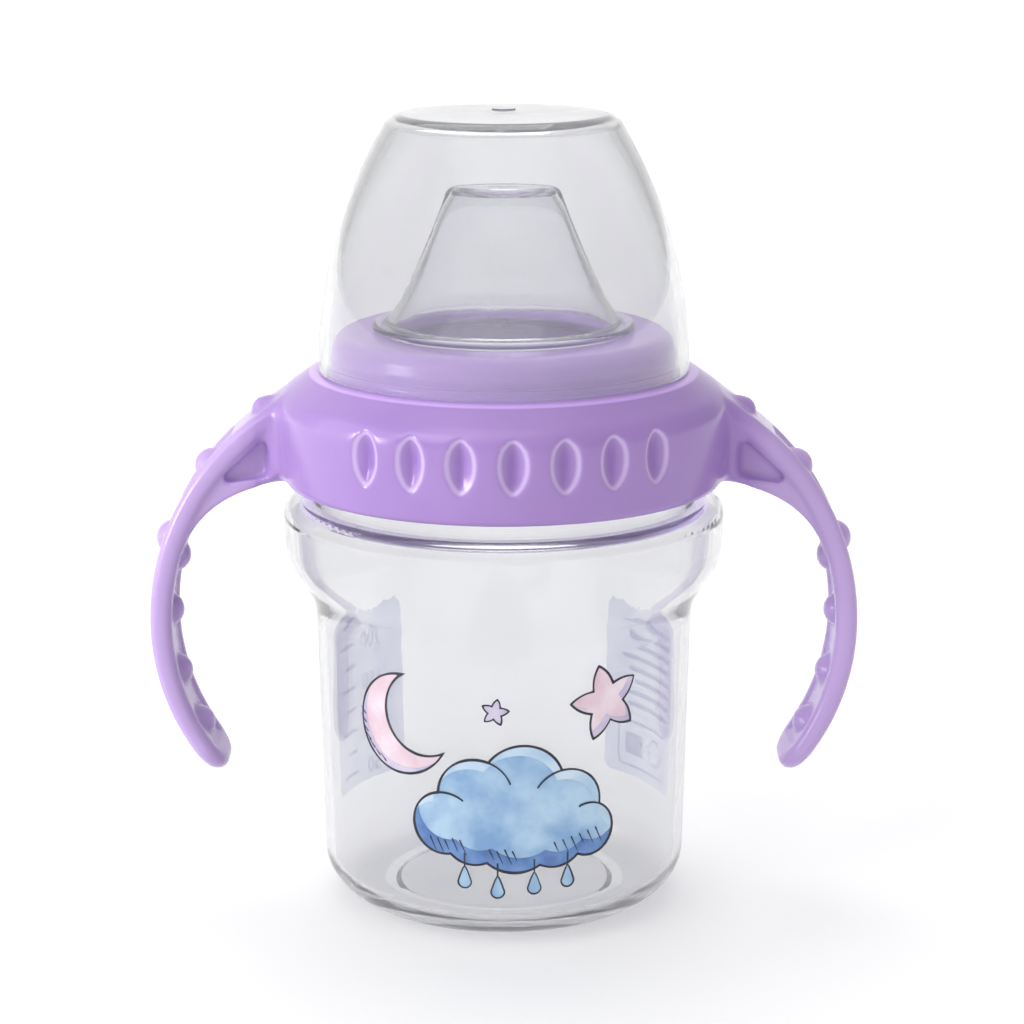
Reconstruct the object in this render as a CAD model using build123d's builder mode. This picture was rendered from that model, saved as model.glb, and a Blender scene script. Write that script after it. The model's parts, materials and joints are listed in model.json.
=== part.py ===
from build123d import *

import os
from math import asin, cos, degrees, hypot, radians, sin, sqrt

# Toddler sippy cup: a clear cup, a screw collar moulded in one with two open handles,
# a soft flat spout clamped under the collar, and a clear hood that snaps over the spout.
# Millimetres. Z is the cup's axis and z = 0 is the surface it stands on. The handles lie along X.

os.makedirs("parts", exist_ok=True)

# ---- cup ----
cup_wall = 1.5
floor_z = 2.4
foot_radius = 21.1
foot_ring_width = 1.9
foot_recess = 0.9
corner_width = 10.4
corner_height = 8.8
waist_radius = 32.45
waist_z = 50.5
shoulder_low_radius = 37.6
shoulder_low_z = 63.5
shoulder_radius = 37.8
shoulder_round = 3.0
shoulder_top_z = 71.3
neck_radius = 33.0
rim_z = 87.3
rim_round = 0.7

# ---- screw thread between neck and collar ----
thread_pitch = 5.0
thread_turns = 1.0
thread_height = 1.3
thread_root_width = 2.2
thread_crest_width = 1.1
thread_sink = 0.4
neck_thread_z = 79.2
collar_thread_z = neck_thread_z - thread_pitch / 2

# ---- collar ----
collar_bottom_z = 74.4
collar_bore = 34.8
collar_bottom_radius = 37.8
collar_belly_radius = 38.6
collar_belly_z = 83.0
collar_top_radius = 38.5
collar_top_z = 89.1
collar_bottom_round = 1.4
collar_top_round = 5.0
ledge_round = 3.0
ledge_z = 93.3
ledge_radius = 32.6
ledge_underside_z = 89.0
step_radius = 29.2
step_top_z = 100.0
step_round = 2.6
step_bore = 27.0
deck_thickness = 2.0
spout_hole = 20.7
hole_round = 0.6
snap_bead_z = 96.4
snap_bead_height = 0.25
snap_bead_half_width = 0.75

# ---- grip dimples, in a row on the front of the collar and another on its back ----
dimples_in_row = 7
dimple_pitch_deg = 12.6
dimple_offset_deg = 2.4
dimple_half_width = 3.5
dimple_half_height = 5.2
dimple_depth = 1.9
dimple_lift = 0.3
dimple_z = 84.5

# ---- handles ----
strap_thickness = 3.8
strap_width = 15.0
strap_edge_round = 1.6
strap_tip_round = 5.5
widest_x = 60.8
widest_z = 49.5
lower_bend = 40.7
lower_inner_bend = 39.3
lower_sweep_deg = 42.0
upper_bend = 44.7
upper_sweep_deg = 49.0
root_bend = 90.0
root_sweep_deg = 8.5
root_radius = 36.4
core_height = 300.0
channel_width = 9.4
channel_depth = 0.5
channel_low_deg = 34.5
channel_high_deg = 47.0
channel_clear = 1.0
web_width = 13.0
web_start = (37.0, 74.7)
web_start_slope = -0.12
web_end_degrees = 16.0
web_top_z = 88.6
root_flare = 2.2
flare_depth = 1.0
flare_root = 33.4
flare_foot = [(38.2, 76.0), (41.0, 74.6)]
pocket_depth = 1.8
pocket_corners = [(39.9, 82.8), (39.9, 75.5), (49.4, 74.1)]
pocket_round = 0.9

# ---- grip nubs on the handles: degrees up the strap from its widest point ----
nub_half_width = 2.9
nub_height = 2.0
nub_stem = 0.8
outer_nub_degrees = [18.9, 38.2]
root_nub_position = 0.42
inner_nub_degrees = [15.0, 1.5, -14.2, -28.4]

# ---- spout ----
silicone_wall = 1.3
flange_radius = 34.0
flange_gap = 0.05
plug_radius = 26.7
spout_neck_radius = 20.6
bead_radius = 22.3
bead_height = 1.4
bead_round = 0.65
spout_levels = [
    # height, half width along X, half depth along Y
    (101.0, 20.4, 20.4),
    (103.4, 18.6, 16.8),
    (107.0, 16.5, 12.6),
    (113.0, 13.7, 8.9),
    (120.5, 10.6, 6.2),
    (124.0, 9.4, 5.3),
]
spout_tip_wall = 1.6
hollow_overlap = 0.3
spout_tip_round = 1.8
slit_length = 5.0
slit_width = 0.5
vent_radius = 0.6
vent_position = 23.6

# ---- hood ----
hood_wall = 1.8
hood_bottom_z = 93.6
hood_bottom_radius = 31.55
hood_rim_height = 1.5
hood_rim_relief = 0.45
hood_side_bend = 79.0
hood_side_sweep_deg = 31.3
hood_corner_round = 3.6
hood_corner_sweep_deg = 54.2
hood_apex_z = 137.0
gate_radius = 2.0
gate_height = 0.2


def body_line(inset, bottom_z):
    """Draw half of the cup's section from foot corner to rim, moved inwards by inset."""
    corner = EllipticalCenterArc(
        (foot_radius, corner_height),
        corner_width - inset,
        corner_height - bottom_z,
        start_angle=270,
        arc_size=90,
    )
    side = Line(corner @ 1, (waist_radius - inset, waist_z))
    up = (0.02, 1)
    flare = Spline(side @ 1, (shoulder_low_radius - inset, shoulder_low_z), tangents=[up, up])
    round_radius = shoulder_round - inset
    round_centre = (shoulder_radius - shoulder_round, shoulder_top_z - shoulder_round)
    Line(flare @ 1, (shoulder_radius - inset, round_centre[1]))
    shoulder = CenterArc(round_centre, round_radius, 0, 90)
    neck_foot = Line(shoulder @ 1, (neck_radius - inset, shoulder_top_z - inset))
    Line(neck_foot @ 1, (neck_radius - inset, rim_z))
    return corner @ 0


def thread_band(radius, start_z, side):
    """One helical ridge: side 1 stands out from the neck, side -1 stands in from the bore."""
    path = Helix(thread_pitch, thread_pitch * thread_turns, radius, center=(0, 0, start_z))
    section = Plane(origin=(radius, 0, start_z), x_dir=(1, 0, 0), z_dir=(0, -1, 0))
    with BuildPart() as band:
        with BuildSketch(section):
            with BuildLine():
                Polyline(
                    (-side * thread_sink, -thread_root_width / 2),
                    (side * thread_height, -thread_crest_width / 2),
                    (side * thread_height, thread_crest_width / 2),
                    (-side * thread_sink, thread_root_width / 2),
                    close=True,
                )
            make_face()
        sweep(path=path, is_frenet=True)
    return band.part


def strap_line(depth, low_bend, low_sweep_deg, high_sweep_deg):
    """Draw the strap's curve, depth below its outer surface, down and up from its widest point."""
    start = (widest_x - depth, widest_z)
    low = JernArc(start, (0, -1), low_bend, -low_sweep_deg)
    high = JernArc(start, (0, 1), upper_bend - depth, high_sweep_deg)
    return low, high


def strap_point(angle_deg, depth):
    """Point of the strap's section at an angle up from its widest point, depth under its skin."""
    reach = upper_bend - depth
    x = widest_x - upper_bend + reach * cos(radians(angle_deg))
    return (x, widest_z + reach * sin(radians(angle_deg)))


def ring_edges(part, radius, z):
    """Round edges of a turned part, found by their radius and height."""
    circles = part.edges().filter_by(GeomType.CIRCLE)
    return circles.filter_by(lambda e: abs(e.radius - radius) < 0.01 and abs(e.center().Z - z) < 0.01)


def outer_plane(angle_deg):
    """Plane on the floor of the strap's outer channel, facing away from the strap."""
    direction = Vector(cos(radians(angle_deg)), 0, sin(radians(angle_deg)))
    centre = Vector(widest_x - upper_bend, 0, widest_z)
    floor = centre + direction * (upper_bend - channel_depth)
    return Plane(origin=floor, x_dir=(0, 1, 0), z_dir=direction)


def inner_plane(angle_deg):
    """Plane on the floor of the strap's inner channel, facing the cup."""
    bend = lower_inner_bend if angle_deg < 0 else upper_bend - strap_thickness
    direction = Vector(cos(radians(angle_deg)), 0, sin(radians(angle_deg)))
    centre = Vector(widest_x - strap_thickness - bend, 0, widest_z)
    floor = centre + direction * (bend + channel_depth)
    return Plane(origin=floor, x_dir=(0, 1, 0), z_dir=-direction)


def spout_body(inset, top_z):
    """Loft the spout from its round foot to its flat tip, moved inwards by inset."""
    with BuildPart() as body:
        for z, half_width, half_depth in spout_levels:
            with BuildSketch(Plane.XY.offset(min(z, top_z))):
                Ellipse(half_width - inset, half_depth - inset)
        loft()
    return body.part


def hood_line(inset):
    """Draw half of the hood's section from its rim to its centre, moved inwards by inset."""
    foot = (hood_bottom_radius - inset, hood_bottom_z)
    side = JernArc(foot, (0, 1), hood_side_bend - inset, hood_side_sweep_deg)
    corner = JernArc(side @ 1, side % 1, hood_corner_round - inset, hood_corner_sweep_deg)
    rim = corner @ 1
    rise = hood_apex_z - inset - rim.Y
    dome_radius = (rim.X**2 + rise**2) / (2 * rise)
    half_angle = degrees(asin(rim.X / dome_radius))
    CenterArc((0, hood_apex_z - inset - dome_radius), dome_radius, 90 - half_angle, half_angle)
    return foot


# ---- shapes that the parts below are made with ----
neck_thread = thread_band(neck_radius, neck_thread_z, 1)
bore_thread = thread_band(collar_bore, collar_thread_z, -1)

# grip nub: a round cap on a short stem that sinks into the strap
with BuildPart() as nub:
    with BuildSketch(Plane.XZ):
        with BuildLine():
            cap = ThreePointArc(
                (-nub_half_width, 0),
                (0, nub_height),
                (nub_half_width, 0),
            )
            Line((nub_half_width, 0), (nub_half_width, -nub_stem))
            Line((nub_half_width, -nub_stem), (-nub_half_width, -nub_stem))
            Line((-nub_half_width, -nub_stem), (-nub_half_width, 0))
        make_face()
        split(bisect_by=Plane.YZ)
    revolve(axis=Axis.Z)

# dimple cutter: a spindle of diamond section, so the dimple is two facets that meet in a crease
diamond_side = hypot(dimple_half_width, dimple_depth)
facet_reach = dimple_half_width * dimple_depth / diamond_side
with BuildPart() as dimple:
    for tilt in (1, -1):
        ruling = Vector(-tilt * dimple_depth, dimple_half_width, 0)
        facing = Vector(dimple_half_width, tilt * dimple_depth, 0)
        with BuildSketch(Plane(origin=(0, 0, 0), x_dir=facing, z_dir=ruling)):
            Ellipse(facet_reach, dimple_half_height)
        extrude(
            amount=2 * diamond_side,
            both=True,
            mode=Mode.ADD if tilt == 1 else Mode.INTERSECT,
        )

# one handle, on the +X side: strap, channels, web, pockets and nubs
with BuildPart() as handle:
    with BuildSketch(Plane.XZ):
        with BuildLine():
            outer_low, outer_high = strap_line(0, lower_bend, lower_sweep_deg, upper_sweep_deg)
            inner_low, inner_high = strap_line(
                strap_thickness, lower_inner_bend, lower_sweep_deg, upper_sweep_deg
            )
            outer_root = JernArc(outer_high @ 1, outer_high % 1, root_bend, root_sweep_deg)
            inner_root = JernArc(
                inner_high @ 1, inner_high % 1, root_bend - strap_thickness, root_sweep_deg
            )
            Line(outer_low @ 1, inner_low @ 1)
            Line(outer_root @ 1, inner_root @ 1)
        make_face()
    extrude(amount=strap_width / 2, both=True)
    tip = handle.faces().filter_by(GeomType.PLANE).sort_by(Axis.Z)[0]
    fillet(tip.edges().filter_by(Axis.Y, reverse=True), strap_tip_round)
    fillet(handle.faces().filter_by(Axis.Y).edges().filter_by(GeomType.CIRCLE), strap_edge_round)

    # shallow channels along the outer and inner faces
    for skin, floor, low_bends in (
        (
            -channel_clear,
            channel_depth,
            (lower_bend + channel_clear, lower_bend - channel_depth),
        ),
        (
            strap_thickness + channel_clear,
            strap_thickness - channel_depth,
            (lower_inner_bend - channel_clear, lower_inner_bend + channel_depth),
        ),
    ):
        with BuildSketch(Plane.XZ):
            with BuildLine():
                skin_low, skin_high = strap_line(skin, low_bends[0], channel_low_deg, channel_high_deg)
                floor_low, floor_high = strap_line(
                    floor, low_bends[1], channel_low_deg, channel_high_deg
                )
                Line(skin_low @ 1, floor_low @ 1)
                Line(skin_high @ 1, floor_high @ 1)
            make_face()
        extrude(amount=channel_width / 2, both=True, mode=Mode.SUBTRACT)

    # web that carries the strap from the collar's wall
    middle = strap_thickness / 2
    web_end = strap_point(web_end_degrees, strap_thickness)
    down_strap = (sin(radians(web_end_degrees)), -cos(radians(web_end_degrees)))
    with BuildSketch(Plane.XZ):
        with BuildLine():
            Spline(web_start, web_end, tangents=[(1, web_start_slope), down_strap])
            Line(web_end, strap_point(web_end_degrees, middle))
            ThreePointArc(
                strap_point(web_end_degrees, middle),
                strap_point((web_end_degrees + upper_sweep_deg) / 2, middle),
                strap_point(upper_sweep_deg, middle),
            )
            Polyline(strap_point(upper_sweep_deg, middle), (root_radius, web_top_z), web_start)
        make_face()
    extrude(amount=web_width / 2, both=True)

    for face_side in (1, -1):
        with BuildSketch(Plane.XZ.offset(face_side * (web_width / 2 - pocket_depth))):
            with BuildLine():
                Polyline(*pocket_corners, close=True)
            make_face()
            fillet(vertices(), pocket_round)
        extrude(amount=face_side * pocket_depth, mode=Mode.SUBTRACT)

    root_heading = outer_root % root_nub_position
    root_out = Vector(root_heading.Y, 0, -root_heading.X)
    root_nub_at = outer_root @ root_nub_position
    root_plane = Plane(origin=(root_nub_at.X, 0, root_nub_at.Y), x_dir=(0, 1, 0), z_dir=root_out)
    nub_planes = [root_plane.offset(-channel_depth)]
    nub_planes += [outer_plane(angle) for angle in outer_nub_degrees]
    nub_planes += [inner_plane(angle) for angle in inner_nub_degrees]
    for nub_plane in nub_planes:
        with Locations(nub_plane):
            add(nub.part)
    Cylinder(root_radius, core_height, mode=Mode.SUBTRACT)

# concave flares on both sides of the handle where it runs into the collar's wall
flare_y = strap_width / 2 + root_flare
flare_x = sqrt((collar_belly_radius + root_flare) ** 2 - flare_y**2)
wall_share = collar_belly_radius / (collar_belly_radius + root_flare)
with BuildPart() as flare:
    with BuildSketch():
        with BuildLine():
            for side in (1, -1):
                flare_centre = Vector(flare_x, side * flare_y)
                wall_point = flare_centre * wall_share
                strap_side = Vector(flare_x, side * strap_width / 2)
                towards_root = (wall_point + strap_side - flare_centre * 2).normalized()
                arc_middle = flare_centre + towards_root * root_flare
                ThreePointArc(wall_point, arc_middle, strap_side)
                Polyline(wall_point, (flare_root, wall_point.Y), (flare_root, 0))
                Line(strap_side, (flare_x, 0))
        make_face()
    extrude(amount=rim_z)
    with BuildSketch(Plane.XZ):
        with BuildLine():
            flare_start = strap_point(upper_sweep_deg, flare_depth)
            flare_top = JernArc(
                flare_start, outer_high % 1, root_bend - flare_depth, root_sweep_deg
            )
            Polyline(
                flare_top @ 1,
                (flare_root, (flare_top @ 1).Y),
                (flare_root, flare_foot[0][1]),
                *flare_foot,
                (flare_start[0], flare_foot[1][1]),
                flare_start,
            )
        make_face()
    extrude(amount=strap_width, both=True, mode=Mode.INTERSECT)
    Cylinder(root_radius, core_height, mode=Mode.SUBTRACT)

# ---- cup: one blown wall with a bulging shoulder and a threaded neck ----
with BuildPart() as cup:
    with BuildSketch(Plane.XZ):
        with BuildLine():
            foot_start = body_line(0, 0)
            floor_start = body_line(cup_wall, floor_z)
            Line((neck_radius, rim_z), (neck_radius - cup_wall, rim_z))
            Polyline(
                foot_start,
                (foot_radius - foot_ring_width, 0),
                (foot_radius - foot_ring_width - foot_recess, foot_recess),
                (0, foot_recess),
                (0, floor_z),
                floor_start,
            )
        make_face()
    revolve(axis=Axis.Z)
    fillet(ring_edges(cup, neck_radius, rim_z), rim_round)
    fillet(ring_edges(cup, neck_radius - cup_wall, rim_z), rim_round)
    add(neck_thread)
cup.part.label = "cup"

# ---- collar with its two handles: one moulding ----
with BuildPart() as handle_collar:
    with BuildSketch(Plane.XZ):
        with BuildLine():
            belly = ThreePointArc(
                (collar_bottom_radius, collar_bottom_z),
                (collar_belly_radius, collar_belly_z),
                (collar_top_radius, collar_top_z),
            )
            Polyline(
                belly @ 1,
                (ledge_radius, ledge_z),
                (step_radius, ledge_z),
                (step_radius, step_top_z),
                (spout_hole, step_top_z),
                (spout_hole, step_top_z - deck_thickness),
                (step_bore, step_top_z - deck_thickness),
                (step_bore, ledge_underside_z),
                (collar_bore, ledge_underside_z),
                (collar_bore, collar_bottom_z),
                belly @ 0,
            )
        make_face()
    revolve(axis=Axis.Z)
    fillet(ring_edges(handle_collar, collar_top_radius, collar_top_z), collar_top_round)
    fillet(ring_edges(handle_collar, ledge_radius, ledge_z), ledge_round)
    fillet(ring_edges(handle_collar, collar_bottom_radius, collar_bottom_z), collar_bottom_round)
    fillet(ring_edges(handle_collar, step_radius, step_top_z), step_round)
    fillet(ring_edges(handle_collar, spout_hole, step_top_z), hole_round)
    with BuildSketch(Plane.XZ):
        with Locations((step_radius, snap_bead_z)):
            Ellipse(snap_bead_height, snap_bead_half_width)
    revolve(axis=Axis.Z)
    with Locations((0, 0, dimple_z)):
        for row_angle in (90, -90):
            first = row_angle + dimple_offset_deg - dimple_pitch_deg * (dimples_in_row - 1) / 2
            with PolarLocations(
                collar_belly_radius + dimple_lift,
                dimples_in_row,
                start_angle=first,
                angular_range=dimple_pitch_deg * (dimples_in_row - 1),
                endpoint=True,
            ):
                add(dimple.part, mode=Mode.SUBTRACT)
    with PolarLocations(0, 2):
        add(handle.part)
        add(flare.part)
    add(bore_thread)
handle_collar.part.label = "handle_collar"

# ---- spout: a soft flange, a plug that fills the collar's step, and the mouthpiece ----
flange_bottom_z = rim_z + flange_gap
flange_top_z = ledge_underside_z - flange_gap
plug_top_z = step_top_z - deck_thickness - flange_gap
bead_bottom_z = step_top_z + flange_gap
mouthpiece = spout_body(0, spout_levels[-1][0])
mouthpiece_hollow = spout_body(silicone_wall, spout_levels[-1][0] - spout_tip_wall)
with BuildPart() as spout:
    with BuildSketch(Plane.XZ):
        with BuildLine():
            Polyline(
                (0, flange_bottom_z),
                (flange_radius, flange_bottom_z),
                (flange_radius, flange_top_z),
                (plug_radius, flange_top_z),
                (plug_radius, plug_top_z),
                (spout_neck_radius, plug_top_z),
                (spout_neck_radius, bead_bottom_z),
                (bead_radius, bead_bottom_z),
                (bead_radius, bead_bottom_z + bead_height),
                (0, bead_bottom_z + bead_height),
                close=True,
            )
        make_face()
    revolve(axis=Axis.Z)
    fillet(ring_edges(spout, bead_radius, bead_bottom_z + bead_height), bead_round)
    fillet(ring_edges(spout, bead_radius, bead_bottom_z), bead_round)
    add(mouthpiece)
    fillet(spout.faces().sort_by(Axis.Z)[-1].edges(), spout_tip_round)
    with BuildSketch(Plane.XZ):
        with BuildLine():
            Polyline(
                (0, flange_bottom_z),
                (plug_radius - silicone_wall, flange_bottom_z),
                (plug_radius - silicone_wall, plug_top_z - silicone_wall),
                (spout_neck_radius - silicone_wall, plug_top_z - silicone_wall),
                (spout_neck_radius - silicone_wall, spout_levels[0][0] + hollow_overlap),
                (0, spout_levels[0][0] + hollow_overlap),
                close=True,
            )
        make_face()
    revolve(axis=Axis.Z, mode=Mode.SUBTRACT)
    add(mouthpiece_hollow, mode=Mode.SUBTRACT)
    with BuildSketch(Plane.XY.offset(spout_levels[-1][0])):
        SlotOverall(slit_length, slit_width)
    extrude(amount=-2 * spout_tip_wall, mode=Mode.SUBTRACT)
    with BuildSketch(Plane.XY.offset(plug_top_z)):
        with Locations((0, -vent_position), (0, vent_position)):
            Circle(vent_radius)
    extrude(amount=-2 * silicone_wall, mode=Mode.SUBTRACT)
spout.part.label = "spout"

# ---- hood: a clear dome that stands on the collar's ledge ----
with BuildPart() as hood:
    with BuildSketch(Plane.XZ):
        with BuildLine():
            outer_foot = hood_line(0)
            inner_foot = hood_line(hood_wall)
            Line(outer_foot, inner_foot)
            Line((0, hood_apex_z - hood_wall), (0, hood_apex_z))
        make_face()
    revolve(axis=Axis.Z)
    with BuildSketch(Plane.XY.offset(hood_bottom_z)):
        Circle(hood_bottom_radius - hood_wall + hood_rim_relief)
    extrude(amount=hood_rim_height, mode=Mode.SUBTRACT)
    with BuildSketch(Plane.XY.offset(hood_apex_z - gate_height)):
        Circle(gate_radius)
    extrude(amount=gate_height * 2)
hood.part.label = "hood"

for piece in (cup, handle_collar, spout, hood):
    export_step(piece.part, f"parts/{piece.part.label}.step")
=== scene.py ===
import json
import math

import bmesh
import bpy
import numpy as np
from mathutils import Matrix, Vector

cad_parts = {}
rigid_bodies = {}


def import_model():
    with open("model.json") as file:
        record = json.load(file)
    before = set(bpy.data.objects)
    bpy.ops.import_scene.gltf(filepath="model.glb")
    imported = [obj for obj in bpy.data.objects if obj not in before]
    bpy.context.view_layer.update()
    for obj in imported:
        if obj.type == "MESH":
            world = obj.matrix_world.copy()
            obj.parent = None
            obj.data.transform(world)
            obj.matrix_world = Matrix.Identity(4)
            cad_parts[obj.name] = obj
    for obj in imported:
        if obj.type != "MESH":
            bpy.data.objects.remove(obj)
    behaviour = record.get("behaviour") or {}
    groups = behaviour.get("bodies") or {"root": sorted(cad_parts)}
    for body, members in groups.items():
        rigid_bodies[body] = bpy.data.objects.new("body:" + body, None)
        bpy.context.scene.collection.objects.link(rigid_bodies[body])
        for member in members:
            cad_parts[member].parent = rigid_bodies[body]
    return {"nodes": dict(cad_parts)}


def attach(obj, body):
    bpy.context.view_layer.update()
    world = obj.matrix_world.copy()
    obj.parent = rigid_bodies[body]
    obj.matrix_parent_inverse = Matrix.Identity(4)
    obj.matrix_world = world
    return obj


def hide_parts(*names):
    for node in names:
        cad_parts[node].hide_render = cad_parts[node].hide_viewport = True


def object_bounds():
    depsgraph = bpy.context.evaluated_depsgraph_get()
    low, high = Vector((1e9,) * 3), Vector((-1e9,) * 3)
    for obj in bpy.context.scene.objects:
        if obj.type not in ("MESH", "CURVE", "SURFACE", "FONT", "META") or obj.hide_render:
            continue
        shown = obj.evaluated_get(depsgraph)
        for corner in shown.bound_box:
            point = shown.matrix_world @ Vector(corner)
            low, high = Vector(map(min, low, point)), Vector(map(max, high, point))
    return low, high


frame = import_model()
cad_low, cad_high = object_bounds()

# Sippy cup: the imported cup, spout and hood keep their shapes and get their materials here. The
# collar is replaced by a copy with eased edges, and the cup gets a printed motif in front and
# two printed panels behind. Metres, Z up; the prints are laid out in millimetres.

MM = 0.001

# ---- driving values ----
VIEW_PITCH = math.radians(13.75)
VIEW_DISTANCE = 490.4 * MM
VIEW_SIDE = 1.4 * MM
AIM_HEIGHT = 67.9 * MM
LENS = 100.0
SENSOR = 36.0

# prints, in millimetres: the unrolled wall's radius, the grids of a patch for plain shapes, panel
# marks, small shapes and hatching, the gap to the wall, the thickness and the outline's width
PRINT_RADIUS = 32.1
PRINT_STEP = 0.2
MARK_STEP = 0.15
FINE_STEP = 0.12
HATCH_STEP = 0.1
PRINT_LIFT = 0.05
PRINT_THICKNESS = 0.015
INK_WIDTH = 0.42
INK_GLOW = 0.12

# what a lamp's light keeps on its way through a clear piece, and the colour of its absorption
LAMP_TINT = (0.95, 0.95, 0.96)
DEEP_TINT = (0.30, 0.31, 0.36)

# a dimple's painted highlight along its rim: levels by depth below the plain wall, in parts of
# DIMPLE_DEPTH
DIMPLE_DEPTH = 2.0
RIM_HIGHLIGHT_LEVELS = ((0.03, 0), (0.12, 0.5), (0.2, 0.5), (0.34, 0))
# the band of the collar that holds the dimples, in millimetres, and the headings, in degrees from
# the Y axis, of the dimples and of the plain wall beside them
DIMPLE_BAND_RADIUS = 35.5
DIMPLE_BAND_BOTTOM = 77.5
DIMPLE_BAND_TOP = 88.9
DIMPLES_END = 50
PLAIN_WALL_END = 62
# the glow on the collar's inner wall, where light comes through it
GLOW_IN_BORE = 0.8
BORE_RADIUS = 36.6 * MM
BORE_TOP = 88.6 * MM
# where the painted highlights on the collar begin: along the handles, and on the ledge under the
# hood
HANDLE_FROM = 40 * MM
LEDGE_FROM = 89.0 * MM
LEDGE_RADIUS = 32.9 * MM
# the soft copy of the collar: its grid, the share of triangles kept, and the smoothing
COLLAR_GRID = 0.35 * MM
COLLAR_KEPT = 0.4
EDGE_PASSES = 3
ROOT_PASSES = 40
# where the copy is smoothed most, in millimetres: a band across each handle's root, which fades
# out to the front and back, and only outside the collar's own wall
ROOT_ACROSS = 38.5
ROOT_BAND = 3.5
ROOT_DEPTH = 9
ROOT_FADE = 5.0
ROOT_FROM_RADIUS = 36.5


# ---- helpers for materials ----
def new_material(name):
    """A node material with one Principled shader: (material, nodes, links, shader)."""
    material = bpy.data.materials.new(name)
    material.use_nodes = True
    nodes = material.node_tree.nodes
    return material, nodes, material.node_tree.links, nodes["Principled BSDF"]


def noise(nodes, links, scale, detail=3.0, stretch=(1, 1, 1)):
    """Noise in the piece's own coordinates, in metres."""
    place = nodes.new("ShaderNodeTexCoord")
    mapping = nodes.new("ShaderNodeMapping")
    mapping.inputs["Scale"].default_value = stretch
    texture = nodes.new("ShaderNodeTexNoise")
    texture.inputs["Scale"].default_value = scale
    texture.inputs["Detail"].default_value = detail
    links.new(place.outputs["Object"], mapping.inputs["Vector"])
    links.new(mapping.outputs["Vector"], texture.inputs["Vector"])
    return texture.outputs["Fac"]


def ramp(nodes, links, factor, low, high, start=0.35, stop=0.65):
    """A two-colour ramp driven by factor."""
    node = nodes.new("ShaderNodeValToRGB")
    node.color_ramp.elements[0].position = start
    node.color_ramp.elements[0].color = (*low, 1)
    node.color_ramp.elements[1].position = stop
    node.color_ramp.elements[1].color = (*high, 1)
    links.new(factor, node.inputs["Fac"])
    return node.outputs["Color"]


def spread(nodes, links, factor, low, high, start=0.0, stop=1.0):
    """Maps a factor between start and stop to the range from low to high."""
    node = nodes.new("ShaderNodeMapRange")
    node.inputs["From Min"].default_value = start
    node.inputs["From Max"].default_value = stop
    node.inputs["To Min"].default_value = low
    node.inputs["To Max"].default_value = high
    links.new(factor, node.inputs["Value"])
    return node.outputs["Result"]


def product(nodes, links, first, second):
    """The product of two factors."""
    node = nodes.new("ShaderNodeMath")
    node.operation = "MULTIPLY"
    links.new(first, node.inputs[0])
    links.new(second, node.inputs[1])
    return node.outputs["Value"]


def mix_colour(nodes, links, factor, first, second):
    """Blends from the first colour, a socket, to the second, a constant, by factor."""
    node = nodes.new("ShaderNodeMix")
    node.data_type = "RGBA"
    links.new(factor, node.inputs[0])
    links.new(first, node.inputs[6])
    node.inputs[7].default_value = (*second, 1)
    return node.outputs[2]


def bump(nodes, links, factor, shader, strength, distance):
    """A bump on the shader from factor."""
    node = nodes.new("ShaderNodeBump")
    node.inputs["Strength"].default_value = strength
    node.inputs["Distance"].default_value = distance
    links.new(factor, node.inputs["Height"])
    links.new(node.outputs["Normal"], shader.inputs["Normal"])


def srgb(red, green, blue):
    """Linear colour of an 8-bit sRGB colour."""
    def linear(value):
        value /= 255
        return value / 12.92 if value <= 0.04045 else ((value + 0.055) / 1.055) ** 2.4
    return (linear(red), linear(green), linear(blue))


BODY_COLOURS = (srgb(161, 128, 195), srgb(167, 135, 200))
# painted highlight on the dimples' rims
RIM_HIGHLIGHT_COLOUR = srgb(226, 208, 242)
# painted shade in the dimples' creases
CREASE_SHADE_COLOUR = srgb(138, 98, 180)
# painted highlight along the handles
HANDLE_HIGHLIGHT_COLOUR = srgb(212, 188, 234)
# painted light on the ledge under the hood
LEDGE_LIGHT_COLOUR = srgb(212, 176, 248)
BORE_COLOUR = srgb(190, 168, 226)


# ---- materials ----
def see_through(name, ior, haze, tints, rough, ripple, depth, deep=DEEP_TINT):
    """Clear moulded plastic or rubber with faint cloud and ripples, which lamps shine through."""
    material, nodes, links, shader = new_material(name)
    shader.inputs["Transmission Weight"].default_value = 1 - haze
    shader.inputs["IOR"].default_value = ior
    cloud = noise(nodes, links, 60, 2.0, (1, 1, 0.4))
    low, high = ((tint, tint + 0.004, tint + 0.014) for tint in tints)
    links.new(ramp(nodes, links, cloud, low, high), shader.inputs["Base Color"])
    links.new(spread(nodes, links, cloud, *rough), shader.inputs["Roughness"])
    bump(nodes, links, noise(nodes, links, 45, 1.0, (1, 1, 0.5)), shader, ripple, 0.2 * MM)
    clear = nodes.new("ShaderNodeBsdfTransparent")
    clear.inputs["Color"].default_value = (*LAMP_TINT, 1)
    path = nodes.new("ShaderNodeLightPath")
    mix = nodes.new("ShaderNodeMixShader")
    links.new(path.outputs["Is Shadow Ray"], mix.inputs["Fac"])
    links.new(shader.outputs["BSDF"], mix.inputs[1])
    links.new(clear.outputs["BSDF"], mix.inputs[2])
    links.new(mix.outputs["Shader"], nodes["Material Output"].inputs["Surface"])
    absorb = nodes.new("ShaderNodeVolumeAbsorption")
    absorb.inputs["Color"].default_value = (*deep, 1)
    absorb.inputs["Density"].default_value = depth
    links.new(absorb.outputs["Volume"], nodes["Material Output"].inputs["Volume"])
    return material


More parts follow.
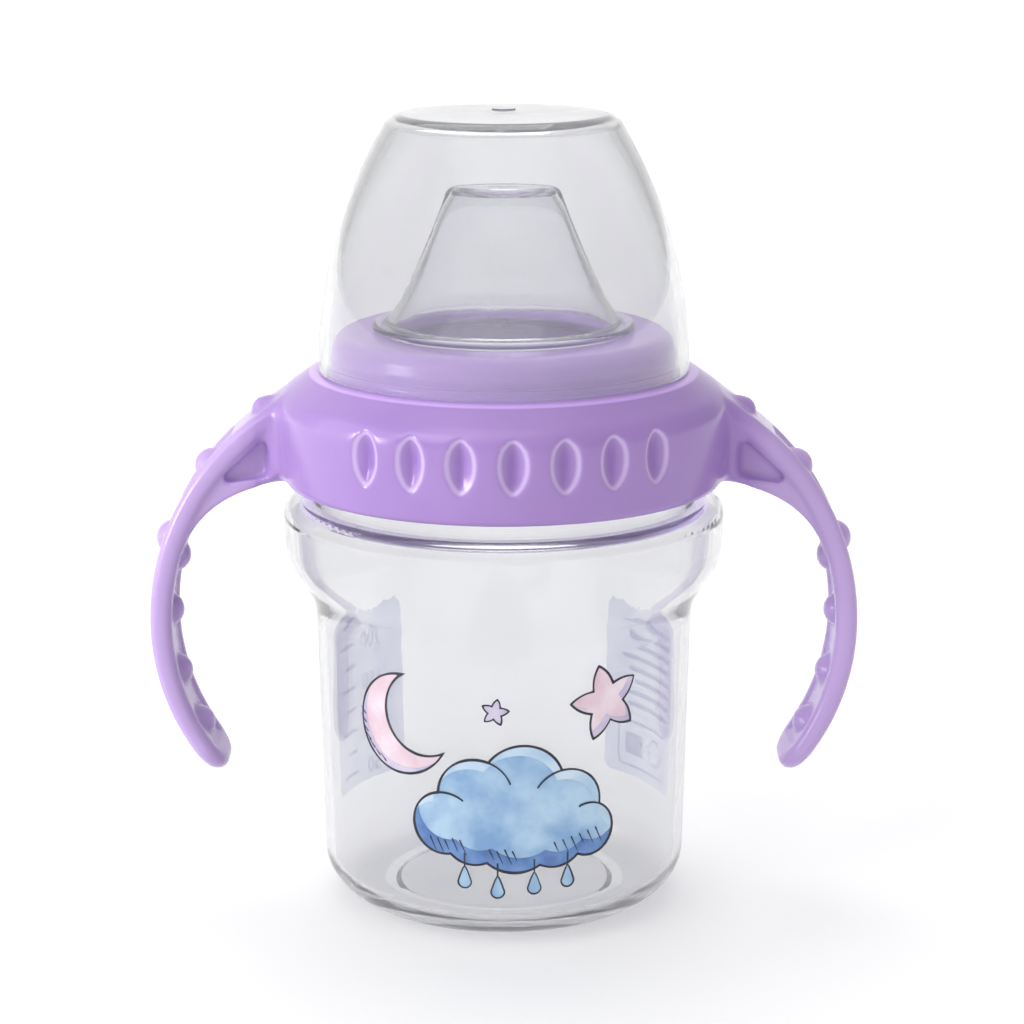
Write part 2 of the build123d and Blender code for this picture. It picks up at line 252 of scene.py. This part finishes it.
def lavender_plastic():
    """Glossy lavender plastic, with painted highlights on the dimple rims, handles and ledge, and
    painted shade in the creases.

    It glows in the bore, where light comes through the wall.
    """
    material, nodes, links, shader = new_material("lavender_plastic_moulded")
    drift = noise(nodes, links, 40, 3.0)
    body = ramp(nodes, links, drift, *BODY_COLOURS)
    sunk = nodes.new("ShaderNodeAttribute")
    sunk.attribute_name = "sunk"
    # painted highlight: a pale band along each dimple's rim, set by its depth
    rim_highlight = nodes.new("ShaderNodeValToRGB")
    rim_highlight.color_ramp.elements[1].color = (0, 0, 0, 1)
    for position, level in RIM_HIGHLIGHT_LEVELS:
        rim_highlight.color_ramp.elements.new(position).color = (level, level, level, 1)
    links.new(sunk.outputs["Fac"], rim_highlight.inputs["Fac"])
    with_rim_highlight = mix_colour(nodes, links, rim_highlight.outputs["Color"], body, RIM_HIGHLIGHT_COLOUR)
    # painted shade: the deepest part of each dimple turned darker
    crease_shade = spread(nodes, links, sunk.outputs["Fac"], 0, 0.75, 0.4, 0.8)
    with_crease_shade = mix_colour(nodes, links, crease_shade, with_rim_highlight, CREASE_SHADE_COLOUR)
    links.new(spread(nodes, links, drift, 0.17, 0.24), shader.inputs["Roughness"])
    shader.inputs["Subsurface Weight"].default_value = 0.2
    shader.inputs["Subsurface Radius"].default_value = (1.0, 0.7, 1.2)
    shader.inputs["Subsurface Scale"].default_value = 1.0 * MM
    place = nodes.new("ShaderNodeTexCoord")
    flat = nodes.new("ShaderNodeVectorMath")
    flat.operation = "MULTIPLY"
    flat.inputs[1].default_value = (1, 1, 0)
    links.new(place.outputs["Object"], flat.inputs[0])
    reach = nodes.new("ShaderNodeVectorMath")
    reach.operation = "LENGTH"
    links.new(flat.outputs["Vector"], reach.inputs[0])
    # painted highlight: the handles turn paler further out from the axis
    handle_highlight = spread(nodes, links, reach.outputs["Value"], 0, 0.5, HANDLE_FROM, HANDLE_FROM + 6 * MM)
    with_handle_highlight = mix_colour(nodes, links, handle_highlight, with_crease_shade, HANDLE_HIGHLIGHT_COLOUR)
    bore_edge = BORE_RADIUS + 0.4 * MM
    inside = spread(nodes, links, reach.outputs["Value"], GLOW_IN_BORE, 0, BORE_RADIUS, bore_edge)
    height = nodes.new("ShaderNodeSeparateXYZ")
    links.new(place.outputs["Object"], height.inputs["Vector"])
    below = spread(nodes, links, height.outputs["Z"], 1, 0, BORE_TOP - 0.5 * MM, BORE_TOP)
    # painted light: the ledge under the hood turns paler
    above = spread(nodes, links, height.outputs["Z"], 0, 0.9, LEDGE_FROM, LEDGE_FROM + 1.0 * MM)
    ledge_edge = LEDGE_RADIUS + 0.4 * MM
    within = spread(nodes, links, reach.outputs["Value"], 1, 0, LEDGE_RADIUS, ledge_edge)
    ledge_light = product(nodes, links, above, within)
    colour = mix_colour(nodes, links, ledge_light, with_handle_highlight, LEDGE_LIGHT_COLOUR)
    links.new(colour, shader.inputs["Base Color"])
    links.new(product(nodes, links, inside, below), shader.inputs["Emission Strength"])
    shader.inputs["Emission Color"].default_value = (*BORE_COLOUR, 1)
    bump(nodes, links, noise(nodes, links, 900, 2.0), shader, 0.05, 0.05 * MM)
    return material


def ink(name, low, high, scale, clear=0.0, glow=0.0):
    """Printed ink that drifts from low to high; clear and glow stand for light through it."""
    material, nodes, links, shader = new_material(name)
    drift = noise(nodes, links, scale, 4.0)
    colour = ramp(nodes, links, drift, low, high)
    links.new(colour, shader.inputs["Base Color"])
    links.new(colour, shader.inputs["Emission Color"])
    shader.inputs["Emission Strength"].default_value = glow
    shader.inputs["Roughness"].default_value = 0.45
    if clear:
        shader.inputs["Alpha"].default_value = 1 - clear
    bump(nodes, links, noise(nodes, links, 2500, 2.0), shader, 0.08, 0.02 * MM)
    return material


cup_plastic = see_through(
    "clear_plastic_blown",
    1.49,
    haze=0.06,
    tints=(0.893, 0.92),
    rough=(0.01, 0.035),
    ripple=0.12,
    depth=18,
)
hood_plastic = see_through(
    "hood_plastic_moulded",
    1.49,
    haze=0.07,
    tints=(0.855, 0.88),
    rough=(0.01, 0.03),
    ripple=0.03,
    depth=13,
)
silicone = see_through(
    "clear_silicone_moulded",
    1.41,
    haze=0.05,
    tints=(0.975, 0.99),
    rough=(0.04, 0.09),
    ripple=0.06,
    depth=7,
    deep=(0.50, 0.47, 0.72),
)
finishes = {
    "cup": cup_plastic,
    "hood": hood_plastic,
    "spout": silicone,
    "handle_collar": lavender_plastic(),
}
for node_name, finish in finishes.items():
    for material_slot in frame["nodes"][node_name].material_slots:
        material_slot.material = finish


# ---- the collar and handles, with softly rounded edges and roots ----
def closed_copy(node_name):
    """A copy of a CAD node's mesh with its split vertices joined."""
    mesh = frame["nodes"][node_name].data.copy()
    joined = bmesh.new()
    joined.from_mesh(mesh)
    bmesh.ops.remove_doubles(joined, verts=joined.verts, dist=1e-6)
    joined.to_mesh(mesh)
    joined.free()
    return mesh


def with_modifiers(mesh, name, *settings):
    """The mesh after a row of modifiers, each given as (type, {setting: value})."""
    holder = bpy.data.objects.new(name, mesh)
    bpy.context.scene.collection.objects.link(holder)
    for kind, values in settings:
        modifier = holder.modifiers.new(kind, kind)
        for key, value in values.items():
            setattr(modifier, key, value)
    graph = bpy.context.evaluated_depsgraph_get()
    result = bpy.data.meshes.new_from_object(holder.evaluated_get(graph))
    bpy.data.objects.remove(holder)
    return result


def relax(mesh, weights, passes):
    """Moves each vertex towards its neighbours' middle, by its weight, again and again."""
    count = len(mesh.vertices)
    places = np.empty(count * 3)
    mesh.vertices.foreach_get("co", places)
    places = places.reshape(-1, 3)
    ends = np.empty(len(mesh.edges) * 2, int)
    mesh.edges.foreach_get("vertices", ends)
    start, stop = ends.reshape(-1, 2).T
    shares = np.bincount(start, minlength=count) + np.bincount(stop, minlength=count)
    for _ in range(passes):
        for axis in range(3):
            column = places[:, axis]
            total = np.bincount(start, column[stop], count)
            total += np.bincount(stop, column[start], count)
            places[:, axis] += weights * (total / shares - column)
    mesh.vertices.foreach_set("co", places.ravel())
    mesh.update()


def mark_dimples(mesh):
    """Stores how deep each point of the dimples lies below the plain wall beside their rows."""
    places = np.empty(len(mesh.vertices) * 3)
    mesh.vertices.foreach_get("co", places)
    x, y, z = places.reshape(-1, 3).T / MM
    radius = np.hypot(x, y)
    heading = np.degrees(np.arctan2(np.abs(x), np.abs(y)))
    on_outside = (radius > DIMPLE_BAND_RADIUS) & (z > DIMPLE_BAND_BOTTOM) & (z < DIMPLE_BAND_TOP)
    plain = on_outside & (heading > DIMPLES_END) & (heading < PLAIN_WALL_END)
    order = np.argsort(z[plain])
    wall = np.interp(z, z[plain][order], radius[plain][order])
    sunk = np.clip((wall - radius) / DIMPLE_DEPTH, 0, 1) * (on_outside & (heading < DIMPLES_END))
    stored = mesh.attributes.new("sunk", "FLOAT", "POINT")
    stored.data.foreach_set("value", sunk.astype(np.float32))


COLLAR_PIECE = "collar_and_handles"


def soft_collar():
    """The collar with every edge eased, and with wide fillets where the handles join it."""
    to_grid = ("REMESH", {"mode": "VOXEL", "voxel_size": COLLAR_GRID})
    mesh = with_modifiers(closed_copy("handle_collar"), "collar_grid", to_grid)
    places = np.empty(len(mesh.vertices) * 3)
    mesh.vertices.foreach_get("co", places)
    across, depth, _ = np.abs(places.reshape(-1, 3).T) / MM
    relax(mesh, np.full(len(mesh.vertices), 0.5), EDGE_PASSES)
    near = np.clip(1 - np.abs(across - ROOT_ACROSS) / ROOT_BAND, 0, 1)
    near *= np.clip(1 - (depth - ROOT_DEPTH) / ROOT_FADE, 0, 1)
    outside = np.hypot(across, depth) > ROOT_FROM_RADIUS
    relax(mesh, 0.6 * np.sqrt(near) * outside, ROOT_PASSES)
    mesh = with_modifiers(mesh, "collar_fine", ("DECIMATE", {"ratio": COLLAR_KEPT}))
    mesh.polygons.foreach_set("use_smooth", [True] * len(mesh.polygons))
    mark_dimples(mesh)
    mesh.materials.clear()
    mesh.materials.append(finishes["handle_collar"])
    piece = bpy.data.objects.new(COLLAR_PIECE, mesh)
    bpy.context.scene.collection.objects.link(piece)
    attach(piece, "collar")
    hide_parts("handle_collar")


soft_collar()


# ---- the cup's outer wall, which the prints follow ----
def wall_radii(heights):
    """The cup's outer radius at each height, found by a ray towards its axis."""
    radii = []
    outside = 2 * cad_high.x
    for height in heights:
        start = Vector((0, -outside, height))
        hit, place, _, _ = frame["nodes"]["cup"].ray_cast(start, Vector((0, 1, 0)))
        radii.append(math.hypot(place.x, place.y) if hit else outside)
    return np.array(radii)


print_heights = np.linspace(6 * MM, 60 * MM, 55)
print_radii = wall_radii(print_heights)


def on_wall(across, height, lift, facing):
    """The point at millimetres across and up the unrolled wall, and lift millimetres outside it.

    Across is counted from the heading facing, in radians from -Y.
    """
    radius = float(np.interp(height * MM, print_heights, print_radii)) + lift * MM
    angle = across / PRINT_RADIUS + facing
    return (radius * math.sin(angle), -radius * math.cos(angle), height * MM)


def finish_print(name, mesh):
    """Gives a patch of print its thickness and fixes it to the cup."""
    mesh.polygons.foreach_set("use_smooth", [True] * len(mesh.polygons))
    patch = bpy.data.objects.new(name, mesh)
    bpy.context.scene.collection.objects.link(patch)
    solid = patch.modifiers.new("thickness", "SOLIDIFY")
    solid.thickness = PRINT_THICKNESS * MM
    solid.offset = 1
    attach(patch, "cup")


def printed(name, field, span, material, layer=0, facing=0.0, step=PRINT_STEP):
    """A patch of print on the cup: the part of span where field(across, height) is above zero."""
    (left, bottom), (right, top) = span
    columns = np.arange(left, right + step, step)
    rows = np.arange(bottom, top + step, step)
    grid_across, grid_height = np.meshgrid(columns, rows, indexing="ij")
    value = field(grid_across, grid_height)
    value = np.where(np.abs(value) < 1e-6, 1e-6, value)
    lift = PRINT_LIFT + layer * 2 * PRINT_THICKNESS
    points, faces, index = [], [], {}

    def corner(i, j):
        if (i, j) not in index:
            index[(i, j)] = len(points)
            points.append(on_wall(columns[i], rows[j], lift, facing))
        return index[(i, j)]

    def crossing(a, b):
        key = (min(a, b), max(a, b))
        if key not in index:
            share = value[a] / (value[a] - value[b])
            across = columns[a[0]] + share * (columns[b[0]] - columns[a[0]])
            height = rows[a[1]] + share * (rows[b[1]] - rows[a[1]])
            index[key] = len(points)
            points.append(on_wall(across, height, lift, facing))
        return index[key]

    inside = value > 0
    touched = inside[:-1, :-1] | inside[1:, :-1] | inside[1:, 1:] | inside[:-1, 1:]
    for i, j in np.argwhere(touched):
        ring = [(i, j), (i + 1, j), (i + 1, j + 1), (i, j + 1)]
        face = []
        for a, b in zip(ring, ring[1:] + ring[:1]):
            if inside[a]:
                face.append(corner(*a))
            if inside[a] != inside[b]:
                face.append(crossing(a, b))
        if len(face) > 2:
            faces.append(face)
    mesh = bpy.data.meshes.new(name)
    mesh.from_pydata(points, [], faces)
    mesh.materials.append(material)
    finish_print(name, mesh)


# ---- shapes for the prints: each is a field above zero inside the shape ----
def disc(across, height, radius):
    return lambda u, v: radius - np.hypot(u - across, v - height)


def either(*fields):
    return lambda u, v: np.maximum.reduce([field(u, v) for field in fields])


def both(*fields):
    return lambda u, v: np.minimum.reduce([field(u, v) for field in fields])


def without(field, other):
    return lambda u, v: np.minimum(field(u, v), -other(u, v))


def outline(field, width):
    """A brushed line along a shape's edge, a little wider here and there."""
    def line(u, v):
        brush = 1 + 0.25 * np.sin(0.55 * u + 0.9) * np.cos(0.48 * v)
        return width * brush / 2 - np.abs(field(u, v))
    return line


def stroke(start, end, width):
    """A straight brush stroke that thins towards its end."""
    (x0, y0), (x1, y1) = start, end
    run_x, run_y = x1 - x0, y1 - y0
    length = run_x**2 + run_y**2

    def line(u, v):
        along = np.clip(((u - x0) * run_x + (v - y0) * run_y) / length, 0, 1)
        distance = np.hypot(u - x0 - along * run_x, v - y0 - along * run_y)
        return width * (1 - 0.7 * along) / 2 - distance
    return line


def star(across, height, radius, turn):
    """A five-pointed star with soft sides, and a waist of half its radius."""
    waist = 0.5

    def field(u, v):
        angle = np.arctan2(u - across, v - height) + turn
        wave = np.abs(np.mod(angle * 5 / (2 * math.pi), 1) - 0.5) * 2
        reach = radius * (waist + (1 - waist) * wave**1.2)
        return (reach - np.hypot(u - across, v - height)) * 0.75
    return field


# ---- the motif in front: a puffy cloud with hatching, a moon, two stars and raindrops ----
blue_ink = ink("print_blue_ink", srgb(124, 163, 207), srgb(178, 207, 231), 150, glow=INK_GLOW)
pale_ink = ink("print_pale_blue_ink", srgb(170, 200, 226), srgb(205, 222, 238), 170, glow=INK_GLOW)
deep_ink = ink("print_deep_blue_ink", srgb(72, 106, 166), srgb(112, 148, 202), 220, glow=INK_GLOW)
dark_ink = ink("print_dark_ink", srgb(28, 28, 40), srgb(60, 62, 80), 500)
pink_ink = ink("print_pink_ink", srgb(222, 190, 204), srgb(240, 224, 234), 150, glow=INK_GLOW)
lilac_ink = ink("print_lilac_ink", srgb(186, 176, 210), srgb(214, 204, 226), 180, glow=INK_GLOW)


def hatching(places, lean, reach, width=0.26):
    """Short slanting brush strokes, one at each place."""
    strokes = []
    for order, (across, height) in enumerate(places):
        length = reach * (1 + 0.25 * math.sin(2.1 * order))
        strokes.append(stroke((across, height), (across + lean * length, height - length), width))
    return either(*strokes)


puffs = [
    (-10.2, 22.2, 5.4), (-4.8, 27.4, 6.3), (3.2, 29.2, 7.0), (10.8, 25.6, 6.0), (14.8, 20.6, 4.6),
    (2.0, 21.4, 7.5), (-5.0, 20.6, 5.4), (8.6, 20.2, 5.6),
]
cloud = either(*[disc(*puff) for puff in puffs])


def curl(puff, other, side):
    """Where two puffs cross at the top: the puff's own outline carried on into the other one."""
    (x0, y0, r0), (x1, y1, r1) = puff, other
    gap = math.hypot(x1 - x0, y1 - y0)
    opening = math.acos((gap**2 + r0**2 - r1**2) / (2 * gap * r0))
    middle = math.atan2(y1 - y0, x1 - x0) + side * (opening - math.radians(24))
    limit = disc(x0 + r0 * math.cos(middle), y0 + r0 * math.sin(middle), 0.44 * r0)
    return both(outline(disc(*puff), 0.32), limit)


cloud_box = ((-17, 12), (21, 38))
printed("print_cloud", cloud, cloud_box, blue_ink)
lit_side = without(cloud, lambda u, v: cloud(u + 0.8, v + 1.7))
underside = without(cloud, lambda u, v: cloud(u - 0.9, v - 2.6))
printed("print_cloud_light", lit_side, cloud_box, pale_ink, 1)
printed("print_cloud_shade", underside, cloud_box, deep_ink, 1)
printed("print_cloud_outline", outline(cloud, INK_WIDTH), cloud_box, dark_ink, 2)

crossings = [(0, 1, 1), (1, 2, 1), (3, 2, -1), (4, 3, -1)]
curls = either(*[curl(puffs[first], puffs[second], side) for first, second, side in crossings])
printed("print_cloud_curls", both(curls, cloud), cloud_box, dark_ink, 3, step=FINE_STEP)
cloud_hatch = [(-12.6 + 1.3 * order, 19.6 - 0.2 * (order % 3)) for order in range(5)]
cloud_hatch += [(8.6 + 1.5 * order, 18.9 + 0.35 * order) for order in range(6)]
cloud_hatch += [(-2.4 + 1.3 * order, 18.0 - 0.3 * (order % 2)) for order in range(4)]
cloud_strokes = hatching(cloud_hatch, 0.45, 2.2)
printed("print_cloud_hatching", cloud_strokes, cloud_box, dark_ink, 3, step=HATCH_STEP)

MOON_CENTRE = (-17.6, 38.6)
MOON_HATCH_RADIUS = 7.9
moon = without(disc(*MOON_CENTRE, 8.6), disc(-13.4, 41.0, 7.4))
moon_box = ((-28, 28), (-8, 49))
printed("print_moon", moon, moon_box, pink_ink)
moon_shade = without(moon, lambda u, v: moon(u - 1.0, v - 1.1))
printed("print_moon_shade", moon_shade, moon_box, lilac_ink, 1)
printed("print_moon_outline", outline(moon, INK_WIDTH), moon_box, dark_ink, 2)
moon_hatch = []
for order in range(7):
    angle = math.radians(178 + 11 * order)
    across = MOON_CENTRE[0] + MOON_HATCH_RADIUS * math.cos(angle)
    moon_hatch.append((across, MOON_CENTRE[1] + MOON_HATCH_RADIUS * math.sin(angle)))
moon_strokes = hatching(moon_hatch, 1.0, -1.1)
printed("print_moon_hatching", moon_strokes, moon_box, dark_ink, 3, step=HATCH_STEP)

big_star = star(17.8, 42.4, 6.6, 0.25)
star_box = ((10, 34), (26, 51))
printed("print_star", big_star, star_box, pink_ink)
star_shade = without(big_star, lambda u, v: big_star(u + 0.9, v - 1.1))
printed("print_star_shade", star_shade, star_box, lilac_ink, 1)
printed("print_star_outline", outline(big_star, INK_WIDTH), star_box, dark_ink, 2)

small_star = star(-1.4, 42.0, 2.3, -0.2)
small_box = ((-5, 38), (2, 46))
small_outline = outline(small_star, 0.3)
printed("print_small_star", small_star, small_box, lilac_ink, step=FINE_STEP)
printed("print_small_star_outline", small_outline, small_box, dark_ink, 2, step=FINE_STEP)


def drop(across, height, radius):
    """A raindrop: round below, pointed above."""
    def field(u, v):
        rise = np.clip((v - height) / (2.4 * radius), 0, 1)
        return radius * (1 - rise) ** 0.75 - np.hypot(u - across, np.minimum(v - height, 0))
    return field


drop_places = [(-6.6, 12.2), (-1.0, 10.6), (5.2, 11.2), (11.0, 12.0)]
for number, (across, height) in enumerate(drop_places, 1):
    rain = drop(across, height, 1.15)
    rain_box = ((across - 3, height - 3), (across + 3, height + 5))
    rain_outline = outline(rain, 0.28)
    printed(f"print_drop_{number}", rain, rain_box, blue_ink, step=FINE_STEP)
    printed(f"print_drop_outline_{number}", rain_outline, rain_box, dark_ink, 2, step=FINE_STEP)

# ---- two panels printed at the back, with generic bars on one and a volume scale on the other ----
PANEL_HEADING = math.radians(122)
PANEL_BOX = ((-13, 12), (13, 50))
BAR_STEP = 2.2
SCALE_BOTTOM = 16
SCALE_STEP = 4.0
FIGURE_SIZE = 4.2
panel_ink = ink(
    "print_panel_ink", srgb(222, 224, 242), srgb(238, 239, 250), 120, clear=0.5, glow=0.4
)
mark_ink = ink("print_mark_ink", srgb(84, 98, 178), srgb(104, 118, 190), 300)


def slab(across, height, half_width, half_height, round_by):
    """A rectangle with rounded corners."""
    def field(u, v):
        gap_u = np.abs(u - across) - half_width + round_by
        gap_v = np.abs(v - height) - half_height + round_by
        outside = np.hypot(np.maximum(gap_u, 0), np.maximum(gap_v, 0))
        return round_by - outside - np.minimum(np.maximum(gap_u, gap_v), 0)
    return field


panel = slab(0, 29.5, 11.5, 16, 2.0)
for side, heading in (("left", -PANEL_HEADING), ("right", PANEL_HEADING)):
    printed(f"print_panel_{side}", panel, PANEL_BOX, panel_ink, facing=heading)


def panel_marks(name, marks, heading):
    """Marks printed over a panel."""
    printed(name, either(*marks), PANEL_BOX, mark_ink, 1, facing=heading, step=MARK_STEP)


bars = []
for order in range(8):
    shorter = 0.9 * (order % 3)
    bars.append(slab(-1.0 - shorter, 42.5 - BAR_STEP * order, 8.5 - shorter, 0.45, 0.4))
panel_marks("print_panel_bars", bars, PANEL_HEADING)
box_marks = [
    outline(slab(0, 19.5, 8, 4.2, 1.2), 0.4),
    outline(disc(-3.6, 19.5, 2.4), 0.4),
    slab(3.6, 19.5, 2.6, 2.0, 0.3),
]
panel_marks("print_panel_box", box_marks, PANEL_HEADING)

ticks = []
for order in range(8):
    shorter = order % 2
    ticks.append(slab(5.0 - shorter, SCALE_BOTTOM + SCALE_STEP * order, 3.0 - shorter, 0.35, 0.3))
panel_marks("print_scale_ticks", ticks, -PANEL_HEADING)


def printed_number(text, across, height, size, facing):
    """A volume figure bent onto the cup's wall."""
    curve = bpy.data.curves.new("figure", "FONT")
    curve.body = text
    curve.size = size
    curve.align_x = "CENTER"
    curve.align_y = "CENTER"
    holder = bpy.data.objects.new("figure", curve)
    bpy.context.scene.collection.objects.link(holder)
    graph = bpy.context.evaluated_depsgraph_get()
    mesh = bpy.data.meshes.new_from_object(holder.evaluated_get(graph))
    bpy.data.objects.remove(holder)
    for vertex in mesh.vertices:
        u, v, _ = vertex.co
        vertex.co = on_wall(across + u, height + v, PRINT_LIFT + 2 * PRINT_THICKNESS, facing)
    mesh.materials.clear()
    mesh.materials.append(mark_ink)
    finish_print(f"print_scale_{text}", mesh)


for order, volume in enumerate(("50", "100", "150", "200")):
    height = SCALE_BOTTOM + 2 * SCALE_STEP * order
    printed_number(volume, -3.4, height, FIGURE_SIZE, -PANEL_HEADING)

# ---- floor ----
# the floor glows more from GLOW_NEAR out to GLOW_FAR, like a lit studio sweep
FLOOR_HALF = 15.0
GLOW_NEAR = 0.25
GLOW_FAR = 1.6
GLOW_LEVELS = (0.27, 0.6)
floor_corners = [
    (-FLOOR_HALF, -FLOOR_HALF, 0),
    (FLOOR_HALF, -FLOOR_HALF, 0),
    (FLOOR_HALF, FLOOR_HALF, 0),
    (-FLOOR_HALF, FLOOR_HALF, 0),
]
floor_mesh = bpy.data.meshes.new("floor")
floor_mesh.from_pydata(floor_corners, [], [(0, 1, 2, 3)])
floor = bpy.data.objects.new("floor", floor_mesh)
bpy.context.scene.collection.objects.link(floor)
floor_material, floor_nodes, floor_links, floor_shader = new_material("floor_paper")
floor_shader.inputs["Base Color"].default_value = (0.8, 0.8, 0.8, 1)
floor_shader.inputs["Roughness"].default_value = 0.9
floor_shader.inputs["Emission Color"].default_value = (1, 1, 1, 1)
floor_place = floor_nodes.new("ShaderNodeTexCoord")
floor_reach = floor_nodes.new("ShaderNodeVectorMath")
floor_reach.operation = "LENGTH"
floor_links.new(floor_place.outputs["Object"], floor_reach.inputs[0])
floor_distance = floor_reach.outputs["Value"]
floor_glow = spread(floor_nodes, floor_links, floor_distance, *GLOW_LEVELS, GLOW_NEAR, GLOW_FAR)
floor_links.new(floor_glow, floor_shader.inputs["Emission Strength"])
floor_mesh.materials.append(floor_material)


# ---- light ----
# the studio is brightest behind the object, above it and to its left
SKY_LEAN = (-0.35, 0.85, 0.35)
SKY_DARK = 0.53
SKY_BRIGHT = 1.05
# darker flags at both sides draw the edges of the clear plastics
FLAG_LEVEL = 0.5
FLAG_FROM = 0.22
FLAG_TO = 0.7


def softbox(name, place, aim, size, power):
    """A square area light at place that faces aim."""
    light = bpy.data.lights.new(name, "AREA")
    light.size = size
    light.energy = power
    lamp = bpy.data.objects.new(name, light)
    lamp.location = place
    lamp.rotation_euler = (Vector(aim) - Vector(place)).to_track_quat("-Z", "Y").to_euler()
    bpy.context.scene.collection.objects.link(lamp)
    return lamp


CLEAR_PIECES = ("cup", "hood", "spout")
centre = (0, 0, AIM_HEIGHT)
key = softbox("key", (-0.75, -0.8, 1.0), centre, 0.7, 3.6)
left_wall = softbox("left_wall", (-1.6, -0.2, 0.6), centre, 1.6, 9)
left_wall.visible_transmission = False
top = softbox("top", (-0.2, 0.7, 1.5), centre, 1.2, 7)
top_of_collar = softbox("top_of_collar", (-0.3, -0.6, 1.45), centre, 1.2, 4.2)
side = softbox("side", (-1.3, -0.45, 0.35), centre, 0.4, 6.5)


def lights_only(lamp, wanted):
    """Limits a lamp to the pieces for which wanted(name) holds."""
    lit = bpy.data.collections.new(lamp.name + "_lit")
    for piece in bpy.context.scene.objects:
        if piece.type == "MESH" and wanted(piece.name):
            lit.objects.link(piece)
    lamp.light_linking.receiver_collection = lit


# the key and the left wall leave out the clear pieces, the top lamp leaves out the collar, and
# the last two lamps light the collar alone
lights_only(key, lambda name: name not in CLEAR_PIECES)
lights_only(left_wall, lambda name: name not in CLEAR_PIECES)
lights_only(top, lambda name: name != COLLAR_PIECE)
lights_only(side, lambda name: name == COLLAR_PIECE)
lights_only(top_of_collar, lambda name: name == COLLAR_PIECE)

world = bpy.data.worlds.new("studio")
bpy.context.scene.world = world
world.use_nodes = True
sky_nodes = world.node_tree.nodes
sky_links = world.node_tree.links
sky_place = sky_nodes.new("ShaderNodeTexCoord")
sky_heading = sky_nodes.new("ShaderNodeVectorMath")
sky_heading.operation = "DOT_PRODUCT"
sky_heading.inputs[1].default_value = SKY_LEAN
sky_links.new(sky_place.outputs["Generated"], sky_heading.inputs[0])
sky_lean = sky_heading.outputs["Value"]
sky_level = spread(sky_nodes, sky_links, sky_lean, SKY_DARK, SKY_BRIGHT, -1.0, 1.0)
sky_parts = sky_nodes.new("ShaderNodeSeparateXYZ")
sky_links.new(sky_place.outputs["Generated"], sky_parts.inputs["Vector"])
sky_aside = sky_nodes.new("ShaderNodeMath")
sky_aside.operation = "ABSOLUTE"
sky_links.new(sky_parts.outputs["X"], sky_aside.inputs[0])
sky_side = sky_aside.outputs["Value"]
sky_flags = spread(sky_nodes, sky_links, sky_side, 1, FLAG_LEVEL, FLAG_FROM, FLAG_TO)
sky_strength = product(sky_nodes, sky_links, sky_level, sky_flags)
sky_links.new(sky_strength, sky_nodes["Background"].inputs["Strength"])
sky_nodes["Background"].inputs["Color"].default_value = (1, 1, 1, 1)
# light crosses many clear walls, and its reflections inside them count as glossy bounces
BOUNCES = 24
bpy.context.scene.cycles.max_bounces = BOUNCES
bpy.context.scene.cycles.transmission_bounces = BOUNCES
bpy.context.scene.cycles.glossy_bounces = BOUNCES
bpy.context.scene.view_settings.view_transform = "Standard"

# ---- camera ----
camera_data = bpy.data.cameras.new("camera")
camera_data.lens = LENS
camera_data.sensor_width = SENSOR
camera = bpy.data.objects.new("camera", camera_data)
camera.location = (
    VIEW_SIDE,
    -VIEW_DISTANCE * math.cos(VIEW_PITCH),
    AIM_HEIGHT + VIEW_DISTANCE * math.sin(VIEW_PITCH),
)
camera.rotation_euler = (math.pi / 2 - VIEW_PITCH, 0, 0)
bpy.context.scene.collection.objects.link(camera)
bpy.context.scene.camera = camera
